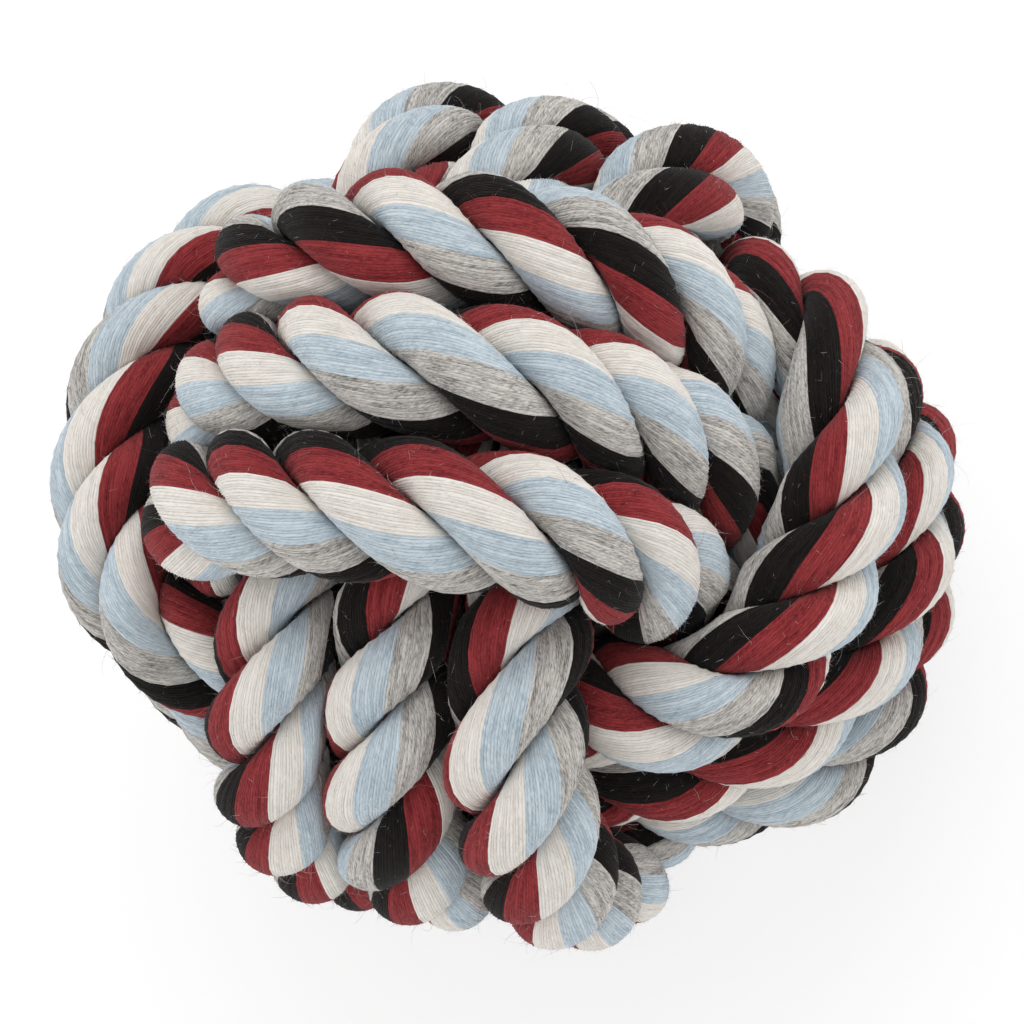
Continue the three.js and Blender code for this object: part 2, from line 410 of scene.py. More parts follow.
    def route(self) -> Route:
        """The rope's middle line in fine even steps, with its directions.

        A curve passes through the drawn points (each stretch the cubic that takes its
        slopes from the neighbouring points), and is smoothed over a few millimetres.

        Returns:
            The route.
        """
        loose, band, cuts = self.loose()
        tight = self.tight(loose)
        beyond = np.vstack([2 * tight[0] - tight[1], tight, 2 * tight[-1] - tight[-2]])
        q0, q1, q2, q3 = (beyond[i : len(tight) - 1 + i, None] for i in range(4))
        t = (np.arange(self.curve_steps) / self.curve_steps)[None, :, None]
        curve = 0.5 * (
            2 * q1
            + (q2 - q0) * t
            + (2 * q0 - 5 * q1 + 4 * q2 - q3) * t**2
            + (3 * q1 - q0 - 3 * q2 + q3) * t**3
        )
        fine = np.vstack([curve.reshape(-1, 3), tight[-1:]])
        far = distances(fine)
        drawn = far[:: self.curve_steps]
        along = np.linspace(0, far[-1], round(far[-1] / self.step) + 1)
        at = smooth(rows_at(along, far, fine), self.line_width / self.step)
        ahead = unit(np.gradient(at, axis=0))
        turn_width = self.turn_width / self.step
        out = square_to(ahead, smooth(square_to(ahead, at), turn_width))
        thick = np.interp(along, drawn, loose[:, 4])
        from_end = np.minimum(along, far[-1] - along)
        bound = self.tail / 2 - self.twine
        thick += (bound - thick) * (1 - ease(from_end / self.whipping_length - 1))
        laps = []
        for k, one in enumerate(BANDS):
            rows = np.flatnonzero(np.isclose(band, k) & (loose[:, 5] >= one.start))
            rows = rows[: int(np.argmax(loose[rows, 5])) + 1]
            laps.append((loose[rows, 5], drawn[rows]))
        return Route(
            at=at,
            along=along,
            ahead=ahead,
            out=out,
            side=np.cross(ahead, out),
            girth=smooth(thick / (self.pressed / 2), turn_width),
            lap_along=laps,
            cuts=drawn[cuts],
            floor=float(tight[:, 2].min()) - self.pressed / 2 + self.rest_depth,
        )


@dataclass(frozen=True)
class Lap:
    """What the photograph shows of one lap, in degrees round the lap from its middle.

    Attributes:
        band: which band the lap is in.
        middle: the lap's middle, in degrees round its band.
        creases: where the lines between strands cross the middle of the rope.
        crests: where strands stand nearest, and the place on the colour wheel there.
    """

    band: int
    middle: float
    creases: tuple[float, ...]
    crests: tuple[tuple[float, float], ...]


LAPS = (
    Lap(0, 180, (-32, -12, 5, 23, 48), (
        (-53, 1.1), (-38, 0.6), (-22, 1.4), (-2, 0.5), (13, 0.35), (35, 1.5), (59, 1.0),
    )),
    Lap(0, 360, (-44, -21, -4, 14, 41), (
        (-74, 0.1), (-55, 1.95), (-32, 0.5), (-11, 0.2), (5, 1.1), (29, 4.35), (50, 4.05),
    )),
    Lap(0, 720, (-49, -22, -3), (
        (-78, 3.1), (-61, 4.0), (-36, 4.5), (-12, 4.1), (7, 0.7), (26, 3.5),
    )),
    Lap(0, 1080, (-67, -46, -22, -3), ((-76, 4.4), (-57, 1.2), (-35, 2.2), (-12, 3.8))),
    Lap(1, 180, (3, 20, 42, 62), (
        (-36, 3.3), (-20, 3.4), (-4, 3.0), (10, 1.5), (32, 2.0), (54, 2.8), (70, 1.0),
    )),
    Lap(1, 360, (-26, -10), ((-36, 4.9), (-20, 4.6), (-4, 4.6))),
    Lap(1, 540, (6, 25, 47, 63), ((-6, 4.2), (16, 0.05), (37, 2.9), (55, 3.1))),
    Lap(1, 720, (-53,), ((-46, 3.5), (-22, 4.6))),
    Lap(1, 900, (19, 40, 58), ((10, 2.3), (31, 1.6), (49, 2.4), (65, 2.4))),
    Lap(1, 1080, (-54,), ((-73, 3.9), (-49, 3.2), (-25, 4.2))),
    Lap(2, 360, (-43, -24, -4, 9, 31, 49), (
        (-50, 3.4), (-35, 1.0), (-14, 0.2), (2, 3.0), (18, 1.2), (40, 4.9), (57, 3.2),
    )),
    Lap(2, 720, (-50, -33, -14, 1, 23, 43, 62), (
        (-56, 3.4), (-42, 3.2), (-23, 2.0), (-6, 2.8), (11, 3.5), (33, 3.0), (52, 3.0),
        (70, 4.4),
    )),
    Lap(2, 1080, (-49, -28, -10, 7, 31, 48), (
        (-57, 2.5), (-40, 1.7), (-19, 2.0), (-1, 1.6), (18, 1.7), (40, 3.4), (57, 1.7),
    )),
    Lap(2, 1200, (), ((3, 2.4),)),
)


class Colour(Enum):
    """The rope's yarns, in their order round a strand: dark fibres, light fibres."""

    BURGUNDY = ((0.130, 0.011, 0.014), (0.335, 0.044, 0.048))
    CREAM = ((0.720, 0.665, 0.600), (0.890, 0.850, 0.795))
    BLUE = ((0.350, 0.440, 0.515), (0.640, 0.720, 0.775))
    HEATHER = ((0.165, 0.155, 0.145), (0.700, 0.667, 0.627))
    BLACK = ((0.003, 0.002, 0.002), (0.014, 0.011, 0.010))


@dataclass
class Lay:
    """How the three strands wind round the rope, and which colour each turns outwards.

    Attributes:
        length: length of rope in which a strand winds once round, where nothing shows it.
        twist: turns of a strand's yarns about it for each turn of the strand.
        width: width of the bell curve that smooths both, in steps of the route.
    """

    length: float = 38.5
    twist: float = 2.38
    width: float = 5.0

    def wind(self, route: Route, eye: Array) -> tuple[Array, Array]:
        """Finds the turn of the strands and of their colours all along the rope.

        At a crease the line of sight falls midway between two strands, so the first
        strand's angle is known up to thirds of a turn; between picks it grows by a turn
        for each lay length. A strand's colours turn by twist for each of its own turns,
        with an offset that brings the photographed colour to each photographed crest.

        Args:
            route: the rope's route.
            eye: where the photograph was taken from.

        Returns:
            The first strand's angle at each step, and for each strand the offset of its
            colours, in radians.
        """
        facing = route.angle_of(eye)

        def seen(distance: float) -> float:
            """Angle of the line of sight at a distance along the rope."""
            return float(facing[int(np.argmin(np.abs(route.along - distance)))])

        creases = sorted(
            route.distance(lap.band, lap.middle + a) for lap in LAPS for a in lap.creases
        )
        turns = [seen(creases[0]) - THIRD / 2]
        for before, here in zip(creases, creases[1:]):
            expected = turns[-1] + TURN * (here - before) / self.length
            turn = seen(here) - THIRD / 2
            turns.append(turn + THIRD * round((expected - turn) / THIRD))
        end = float(route.along[-1])
        first = turns[0] - TURN * creases[0] / self.length
        last = turns[-1] + TURN * (end - creases[-1]) / self.length
        angle = np.interp(route.along, [0.0, *creases, end], [first, *turns, last])
        angle = smooth(angle, self.width)

        picks: list[list[tuple[float, float]]] = [[], [], []]
        crests = sorted(
            (route.distance(lap.band, lap.middle + a), place)
            for lap in LAPS
            for a, place in lap.crests
        )
        for here, place in crests:
            own = float(np.interp(here, route.along, angle))
            strand = round((seen(here) - own) / THIRD)
            own += strand * THIRD
            offset = TURN * place / len(Colour) - (seen(here) - own) - self.twist * own
            # the strand's number is kept within three by whole turns of its angle
            offset += self.twist * TURN * (strand // 3)
            known = picks[strand % 3]
            if known:
                offset += TURN * round((known[-1][1] - offset) / TURN)
            known.append((here, offset))
        offsets = [np.interp(route.along, *zip(*known)) for known in picks]
        return angle, np.array([smooth(offset, self.width) for offset in offsets])


class Graph:
    """A material's nodes, made and joined in words."""

    def __init__(self, name: str) -> None:
        """Starts a material with no nodes.

        Args:
            name: the material's name.
        """
        self.material = bpy.data.materials.new(name)
        self.material.use_nodes = True
        self.nodes = self.material.node_tree.nodes
        self.links = self.material.node_tree.links
        self.nodes.clear()

    def node(
        self, kind: str, inputs: dict[int | str, object] | None = None, **settings: object
    ) -> bpy.types.Node:
        """Adds a node.

        Args:
            kind: the node's type, after the words that all shader nodes start with.
            inputs: sockets by name or number, each a value or another node's output.
            settings: the node's own properties.

        Returns:
            The node.
        """
        made = self.nodes.new(f"ShaderNode{kind}")
        for name, value in settings.items():
            setattr(made, name, value)
        for socket, value in (inputs or {}).items():
            if isinstance(value, Socket):
                self.links.new(value, made.inputs[socket])
            else:
                made.inputs[socket].default_value = value
        return made

    def math(self, operation: str, a: object, b: object = 0.0, c: object = 0.0) -> Socket:
        """The output of a sum of that kind."""
        return self.node("Math", {0: a, 1: b, 2: c}, operation=operation).outputs[0]

    def point(self, x: object, y: object, z: object) -> Socket:
        """A point, or a colour, of three values."""
        return self.node("CombineXYZ", {0: x, 1: y, 2: z}).outputs[0]

    def noise(
        self, at: Socket, scale: float, detail: float, roughness: float = 0.5
    ) -> Socket:
        """Noise between 0 and 1 at a point."""
        inputs = {"Vector": at, "Scale": scale, "Detail": detail, "Roughness": roughness}
        return self.node("TexNoise", inputs).outputs["Fac"]

    def spread(
        self, value: Socket, low: float, high: float, start: float = 0.0, end: float = 1.0
    ) -> Socket:
        """A value's range from low to high, spread over another range and held there."""
        inputs = {"Value": value, 1: low, 2: high, 3: start, 4: end}
        return self.node("MapRange", inputs, clamp=True).outputs[0]

    def mixed(self, factor: object, a: object, b: object, blend: str = "MIX") -> Socket:
        """Two colours mixed by a factor."""
        inputs = {0: factor, 6: a, 7: b}
        return self.node("Mix", inputs, data_type="RGBA", blend_type=blend).outputs[2]

    def bump(self, height: Socket, strength: float, distance: float) -> Socket:
        """Normals of a surface raised by a height, times a distance in metres."""
        inputs = {"Strength": strength, "Distance": distance, "Height": height}
        return self.node("Bump", inputs).outputs[0]

    def surface(self, shader: bpy.types.Node) -> bpy.types.Material:
        """Ends the material with a shader's output."""
        self.node("OutputMaterial", {"Surface": shader.outputs[0]})
        return self.material


@dataclass(frozen=True)
class Grain:
    """Noise on a strand: how fast it changes across and along the yarns, and its layer."""

    across: float
    along: float
    layer: float
    detail: float = 2.0
    roughness: float = 0.6

    def on(self, graph: Graph, yarn: Socket, far: Socket) -> Socket:
        """The noise at a place counted in yarns and a distance along them."""
        places = ((yarn, self.across), (far, self.along))
        x, y = (graph.math("MULTIPLY", place, rate) for place, rate in places)
        return graph.noise(graph.point(x, y, self.layer), 1.0, self.detail, self.roughness)


@dataclass(frozen=True)
class SpunCotton:
    """Soft spun yarn in five colours, laid side by side round a strand.

    Attributes:
        lift: how far loose fibres pale towards lint.
        yarns: number of yarns round a strand.
        fibre, tuft, patch: grain of fibres, of pale stretches and of the painted shade in
            the grooves between yarns.
        spin: how far a fibre slants over the yarns in a millimetre.
        light_range: amounts at which fibres are all dark and all light.
        edge_power, groove_shade_depth: how narrow and how dark the painted groove shade is.
        patch_range: noise at which the painted groove shade shows most and not at all.
    """

    name: str = "spun_cotton"
    lift: float = 0.0
    yarns: int = 60
    map_name: str = "Yarn"
    fibre: Grain = Grain(6.0, 1.8, 0.0, 3.0)
    tuft: Grain = Grain(7.3, 0.22, 4.0)
    patch: Grain = Grain(0.35, 0.5, 9.0)
    spin: float = 0.3
    yarn_width: float = 0.6
    tuft_share: float = 0.7
    light_range: tuple[float, float] = (0.28, 0.6)
    edge_power: float = 2.5
    groove_shade_depth: float = 0.4
    patch_range: tuple[float, float] = (0.3, 0.7)
    fibre_height: float = 1.2
    bump_strength: float = 0.6
    bump_distance: float = 0.00014
    lint: tuple[float, ...] = (0.80, 0.78, 0.75, 1.0)
    roughness: float = 0.92
    specular: float = 0.08
    sheen: float = 0.1
    sheen_roughness: float = 0.5

    def ramp(self, graph: Graph, place: Socket, shade: int) -> Socket:
        """The wheel of colours.

        Args:
            graph: the material's nodes.
            place: place on the wheel, from 0 to 1.
            shade: 0 for dark fibres, 1 for light ones.

        Returns:
            The colour.
        """
        ramp = graph.node("ValToRGB", {"Fac": place})
        ramp.color_ramp.interpolation = "CONSTANT"
        stops = ramp.color_ramp.elements
        while len(stops) < len(Colour):
            stops.new(1.0)
        for i, colour in enumerate(Colour):
            stops[i].position = i / len(Colour)
            stops[i].color = (*colour.value[shade], 1.0)
        return ramp.outputs["Color"]

    def material(self) -> bpy.types.Material:
        """Builds the material.

        The map's first place counts the yarns round the strand and its second is the
        distance along it. Fibres are noise drawn out along the yarn and slanted by its
        spin; they mix each yarn's dark and light shades, and raise its surface. Each yarn's
        colour is darkened towards its edges, a painted shade for the grooves between yarns.

        Returns:
            The material.
        """
        g = Graph(self.name)
        uv = g.node("UVMap", uv_map=self.map_name).outputs[0]
        split = g.node("SeparateXYZ", {0: uv})
        count = g.math("MULTIPLY", split.outputs[0], self.yarns)
        index = g.math("FLOOR", count)
        far = g.math("MULTIPLY", split.outputs[1], 1 / METRES)
        width = g.math("MULTIPLY", count, self.yarn_width)
        fibre = self.fibre.on(g, g.math("MULTIPLY_ADD", far, self.spin, width), far)
        tuft = self.tuft.on(g, index, far)
        tuft = g.math("MULTIPLY_ADD", tuft, self.tuft_share, -self.tuft_share / 2)
        light = g.spread(g.math("ADD", fibre, tuft), *self.light_range)
        place = g.math("DIVIDE", g.math("ADD", index, 0.5), self.yarns)
        colour = g.mixed(light, self.ramp(g, place, 0), self.ramp(g, place, 1))

        # Painted shade: the colour darkens towards each yarn's edges in place of the shade
        # in the grooves between yarns. The patch noise varies how dark it gets.
        from_middle = g.math("MULTIPLY_ADD", g.math("FRACT", count), 2.0, -1.0)
        edge = g.math("POWER", g.math("ABSOLUTE", from_middle), self.edge_power)
        patch = self.patch.on(g, count, far)
        depth = g.spread(patch, *self.patch_range, -self.groove_shade_depth, 0.0)
        shade = g.math("MULTIPLY_ADD", edge, depth, 1.0)
        colour = g.mixed(1.0, colour, g.point(shade, shade, shade), "MULTIPLY")
        if self.lift:
            colour = g.mixed(self.lift, colour, self.lint)
        height = g.math("SUBTRACT", g.math("MULTIPLY", fibre, self.fibre_height), edge)
        cotton = {
            "Base Color": colour,
            "Roughness": self.roughness,
            "Specular IOR Level": self.specular,
            "Sheen Weight": self.sheen,
            "Sheen Roughness": self.sheen_roughness,
            "Normal": g.bump(height, self.bump_strength, self.bump_distance),
        }
        return g.surface(g.node("BsdfPrincipled", cotton))


@dataclass(frozen=True)
class WoundYarn:
    """Plain undyed yarn, mottled and furry, for the core and the whippings."""

    name: str
    dark: Triple
    light: Triple
    grain: float
    detail: float = 4.0
    shade_range: tuple[float, float] = (0.35, 0.65)
    bump_strength: float = 0.5
    bump_distance: float = 0.0003
    roughness: float = 0.95

    def material(self) -> bpy.types.Material:
        """Builds the material: noise on the object's own places mixes two shades.

        Returns:
            The material.
        """
        g = Graph(self.name)
        noise = g.noise(g.node("TexCoord").outputs["Object"], self.grain, self.detail)
        shades = (*self.dark, 1.0), (*self.light, 1.0)
        yarn = {
            "Base Color": g.mixed(g.spread(noise, *self.shade_range), *shades),
            "Roughness": self.roughness,
            "Normal": g.bump(noise, self.bump_strength, self.bump_distance),
        }
        return g.surface(g.node("BsdfPrincipled", yarn))


@dataclass
class Surface:
    """A mesh being made: its points, its faces and its maps.

    Attributes:
        points: rows of x, y, z in millimetres from the ball's middle.
        faces: rows of four corners, or of three where the fourth is -1.
        maps: for each map's name, two places for each corner of each face.
    """

    points: Array
    faces: Array
    maps: dict[str, Array] = field(default_factory=dict)

    @classmethod
    def tube(cls, rings: Array, ends: Array) -> Surface:
        """A tube of rings, closed round its columns, with a fan on each end.

        Args:
            rings: rings of points, which run anticlockwise seen from past the last ring.
            ends: the middles of the first and the last ring.

        Returns:
            The surface, whose faces look outwards: the sides, then the two fans.
        """
        rows, columns = rings.shape[:2]
        j = np.arange(columns)
        k, none = (j + 1) % columns, np.full(columns, -1)
        i = columns * np.arange(rows - 1)[:, None]
        sides = np.stack([i + j, i + k, i + columns + k, i + columns + j], axis=-1)
        first, start = np.full(columns, rows * columns), (rows - 1) * columns
        fans = [(k, j, first, none), (start + j, start + k, first + 1, none)]
        faces = [sides.reshape(-1, 4), *(np.column_stack(fan) for fan in fans)]
        return cls(np.vstack([rings.reshape(-1, 3), ends]), np.vstack(faces))

    def joined(self, other: Surface) -> Surface:
        """This surface and another one with the same maps, as one."""
        moved = np.where(other.faces >= 0, other.faces + len(self.points), -1)
        return Surface(
            np.vstack([self.points, other.points]),
            np.vstack([self.faces, moved]),
            {name: np.vstack([self.maps[name], other.maps[name]]) for name in self.maps},
        )

    def piece(
        self, name: str, material: bpy.types.Material, floor: float
    ) -> bpy.types.Object:
        """Writes the mesh in metres, standing on the floor.

        Args:
            name: the piece's name.
            material: what it is made of.
            floor: height of the floor, in millimetres from the ball's middle.

        Returns:
            The object.
        """
        real = self.faces >= 0
        sizes = real.sum(1)
        mesh = bpy.data.meshes.new(name)
        mesh.vertices.add(len(self.points))
        at = (self.points - (0, 0, floor)) * METRES
        mesh.vertices.foreach_set("co", at.astype(np.float32).ravel())
        mesh.loops.add(int(sizes.sum()))
        mesh.loops.foreach_set("vertex_index", self.faces[real].astype(np.int32))
        mesh.polygons.add(len(sizes))
        starts = np.concatenate([[0], np.cumsum(sizes)[:-1]])
        mesh.polygons.foreach_set("loop_start", starts.astype(np.int32))
        mesh.polygons.foreach_set("use_smooth", np.ones(len(sizes), bool))
        mesh.update(calc_edges=True)
        for map_name, places in self.maps.items():
            layer = mesh.uv_layers.new(name=map_name)
            layer.data.foreach_set("uv", places[real].astype(np.float32).ravel())
        mesh.validate()
        mesh.materials.append(material)
        made = bpy.data.objects.new(name, mesh)
        bpy.context.scene.collection.objects.link(made)
        return made


@dataclass
class Press:
    """What a turn of the rope is pressed against: the other turns, the core, the floor.

    Attributes:
        seam: gap that is left between two turns.
        soft: distance over which a pressed face rounds off.
        apart: distance along the rope within which two points are the same turn.
        most: number of other points looked at.
        floor_gap: gap that is left over the floor.
    """

    knot: Knot
    route: Route
    seam: float = 0.25
    soft: float = 0.5
    apart: float = 26.0
    most: int = 12
    floor_gap: float = 0.05
    towards: Array = field(init=False)
    limit: Array = field(init=False)

    def __post_init__(self) -> None:
        """Finds the planes midway between each point of the rope and the nearest others."""
        route = self.route
        others = np.arange(0, len(route.at), 2)
        between = route.at[None, others] - route.at[:, None]
        distance = np.linalg.norm(between, axis=2)
        same = np.abs(route.along[None, others] - route.along[:, None]) < self.apart
        distance[same] = np.inf
        nearest = np.argpartition(distance, self.most, axis=1)[:, : self.most]
        rows = np.arange(len(route.at))[:, None]
        far = distance[rows, nearest]
        self.towards = between[rows, nearest] / far[..., None]
        share = route.girth[:, None] / (route.girth[:, None] + route.girth[others][nearest])
        self.limit = far * share - self.seam / 2

    def on(self, points: Array, rows: slice) -> Array:
        """Presses rings of points.

        A point past the plane midway to another turn moves back along the plane's normal
        by what it is over, rounded off; then out of the core and up from the floor.

        Args:
            points: rings of points, one ring for each row.
            rows: the steps of the route that the rings belong to.

        Returns:
            The pressed points.
        """
        rel = points - self.route.at[rows, None]
        for k in range(self.most):
            way = self.towards[rows, k][:, None]
            past = dot(rel, way) - self.limit[rows, k][:, None, None]
            rel = rel - way * over(past, self.soft)
        points = self.route.at[rows, None] + rel
        reach = np.linalg.norm(points, axis=2, keepdims=True)
        low = self.knot.core_radius + self.seam
        points = points * (1 + over(low - reach, self.soft) / reach)
        lowest = self.route.floor + self.floor_gap
        points[..., 2] += over(lowest - points[..., 2], self.soft)
        return points


@dataclass(frozen=True)
class Wave:
    """A slow wave along the yarns: size times the sine of an angle.

    The angle is the distance over length, plus radians for each column and each strand.
    """

    size: float
    length: float
    column: float = 0.0
    strand: float = 0.0

    def at(self, far: Array, column: Array, strand: int) -> Array:
        """The wave at distances along a strand and at columns round it."""
        angle = far / self.length + self.column * column + self.strand * strand
        return self.size * np.sin(angle)


@dataclass
class Rope:
    """Three strands of spun yarn, laid right-handed, along the knot's route.

    Attributes:
        diameter: thickness over the strands' crests.
        breadth: how much broader than thick the rope is where it lies in the knot.
        strand_share: a strand's radius, as a share of the rope's diameter.
        strand_soft: distance over which a strand's pressed sides round off.
        most_pressed: the furthest that they are pressed in.
        yarn_relief: height of a yarn's crown over the line between two yarns, halved.
        wander, strays: how far a yarn strays sideways, in yarns, and its two waves.
        lumps, crowns: how a strand's thickness and its yarns' crowns rise and fall.
        columns: points round a strand, two for each yarn.
        strips, strip_margin: rows of a strand's bake map, and gaps at their ends and sides.
        fan_corner: size of a fan's face on that map.
        own_map: distance on the yarn map from one strand to the next.
    """

    knot: Knot
    route: Route
    lay: Lay
    eye: Array
    diameter: float = 18.6
    breadth: float = 1.1
    strand_share: float = 0.232
    strand_gap: float = 0.12
    strand_soft: float = 0.3
    most_pressed: float = 4.0
    yarn_relief: float = 0.06
    wander: float = 0.35
    strays: tuple[Wave, Wave] = (Wave(0.6, 9.0, 2.4, 1.0), Wave(0.8, 23.0, 0.9, 2.0))
    lumps: Wave = Wave(0.012, 7.0, strand=3.0)
    crowns: Wave = Wave(0.4, 5.0, column=1.7)
    floor_gap: float = 0.01
    columns: int = 120
    strips: int = 6
    strip_margin: tuple[float, float] = (0.01, 0.02)
    fan_corner: float = 0.002
    own_map: float = 10.0
    angle: Array = field(init=False)
    offsets: Array = field(init=False)
    press: Press = field(init=False)

    def __post_init__(self) -> None:
        """Winds the lay along the route."""
        self.angle, self.offsets = self.lay.wind(self.route, self.eye)
        self.press = Press(self.knot, self.route)

    @property
    def strand_radius(self) -> float:
        """Radius of a strand."""
        return self.strand_share * self.diameter

    def axis(self, strand: int) -> tuple[Array, Array, Array, Array]:
        """A strand's middle line and directions along the whole rope.

        The middle line winds round the rope at the distance where its crest reaches the
        rope's full radius.

        Args:
            strand: 0, 1 or 2.

        Returns:
            Angles round the rope, points, and unit vectors outwards and sideways, both
            square to the strand.
        """
        turn = self.angle + TURN * strand / 3
        away = around(turn, self.route.out, self.route.side)
        reach = (self.diameter / 2 - self.strand_radius) * self.route.girth[:, None]
        at = self.route.at + reach * away
        ahead = unit(np.gradient(at, axis=0))
        out = square_to(ahead, away)
        return turn, at, out, np.cross(ahead, out)

    def beside(self, points: Array, turn: Array, rows: slice) -> Array:
        """Presses a strand's points into its third of the rope.

        The third is bounded by two planes through the rope's middle line, 60 degrees to
        either side of the strand, which wind with the lay. A point past one moves back
        along its normal.

        Args:
            points: rings of points.
            turn: the strand's angle round the rope at each step of the whole rope.
            rows: the steps that the rings belong to.

        Returns:
            The pressed points.
        """
        route = self.route
        at, ahead, out, side = (
            way[rows, None] for way in (route.at, route.ahead, route.out, route.side)
        )
        rel = points - at
        away, x, y = dot(rel, ahead), dot(rel, out), dot(rel, side)
        rate = np.gradient(turn, route.along)[rows]
        here = turn[rows, None, None] + rate[:, None, None] * away
        c, s = np.cos(here), np.sin(here)
        up, aside = c * x + s * y, c * y - s * x
        way = np.sign(aside)
        past = COS_60 * np.abs(aside) - SIN_60 * up + self.strand_gap / 2
        past = np.minimum(over(past, self.strand_soft), self.most_pressed)
        up, aside = up + SIN_60 * past, aside - way * COS_60 * past
        x, y = c * up - s * aside, s * up + c * aside
        return at + away * ahead + x * out + y * side

    def rings(self, strand: int, first: int, last: int) -> tuple[Array, Array, Array]:
        """A strand's surface between two steps of the route.

        Point j of a ring lies on yarn j / 2, whose angle about the strand falls by twist
        for each turn of the strand, so that a column follows a yarn. Yarns stray a little
        by slow waves, and every second column is raised and the others sunk.

        Args:
            strand: 0, 1 or 2.
            first: first step.
            last: last step.

        Returns:
            Rings of points, the rings' outward directions, and distances along the strand.
        """
        rows = slice(first, last + 1)
        turn, at, out, side = self.axis(strand)
        far = distances(at)[rows, None]
        column = np.arange(self.columns)[None, :]
        place = far, column, strand
        stray = self.strays[0].at(*place) + self.strays[1].at(*place)
        about = TURN * column / self.columns + self.wander * TURN / self.columns * stray
        about = about - (self.lay.twist * turn + self.offsets[strand])[rows, None]
        normal = around(about, out[rows, None], side[rows, None])
        girth = self.route.girth[rows, None, None]
        lump = 1 + self.lumps.at(*place)[..., None]
        points = at[rows, None] + self.strand_radius * girth * lump * normal
        points = self.beside(points, turn, rows)
        aside = self.route.side[rows, None]
        across = dot(points - self.route.at[rows, None], aside)
        points = points + (self.breadth - 1) * across * aside
        points = self.press.on(points, rows)
        crown = np.where(column % 2 == 1, self.yarn_relief, -self.yarn_relief)
        crown = crown * (1 + self.crowns.at(*place))
        points = points + crown[..., None] * girth * normal
        points[..., 2] = np.maximum(points[..., 2], self.route.floor + self.floor_gap)
        return points, normal, far[:, 0]

    def strand(self, strand: int, first: int, last: int) -> Surface:
        """A length of one strand as a closed tube, with its maps.

        Args:
            strand: 0, 1 or 2.
            first: first step of the route.
            last: last step.

        Returns:
            The surface. Its map "Yarn" holds the place round the strand and the distance
            along it in metres, and its map for baking lies in even strips.
        """
        rings, _, far = self.rings(strand, first, last)
        made = Surface.tube(rings, np.vstack([rings[0].mean(0), rings[-1].mean(0)]))
        rows, columns = rings.shape[:2]
        i, j = np.meshgrid(np.arange(rows - 1), np.arange(columns), indexing="ij")
        corner_i = np.stack([i, i, i + 1, i + 1], axis=-1).reshape(-1, 4)
        corner_j = np.stack([j, j + 1, j + 1, j], axis=-1).reshape(-1, 4)
        own = self.own_map * strand
        yarn = np.stack([corner_j / columns, far[corner_i] * METRES + own], axis=-1)
        longest = math.ceil((rows - 1) / self.strips)
        strip = (i // longest).reshape(-1, 1)
        ends, sides = self.strip_margin
        in_strip = ends + (1 - 2 * ends) * (corner_i - strip * longest) / longest
        over_strip = sides + (1 - 2 * sides) * corner_j / columns
        bake = np.stack([in_strip, (strip + over_strip) / self.strips], axis=-1)
        fans = len(made.faces) - len(yarn)
        plain = np.zeros((fans, 4, 2))
        plain[:, :, 0] = np.tile(np.arange(columns) / columns, 2)[:, None]
        plain[:, :, 1] = own
        corner = self.fan_corner * np.array([(0, 0), (1, 0), (1, 1), (0, 0)])
        made.maps = {
            "Yarn": np.vstack([yarn, plain]),
            "OFBake": np.vstack([bake, np.tile(corner, (fans, 1, 1))]),
        }
        return made


@dataclass(frozen=True)
class Fibre:
    """A kind of loose fibre: number on a band, middle length, and rings before its tip."""

    count: int
    length: float
    joints: int


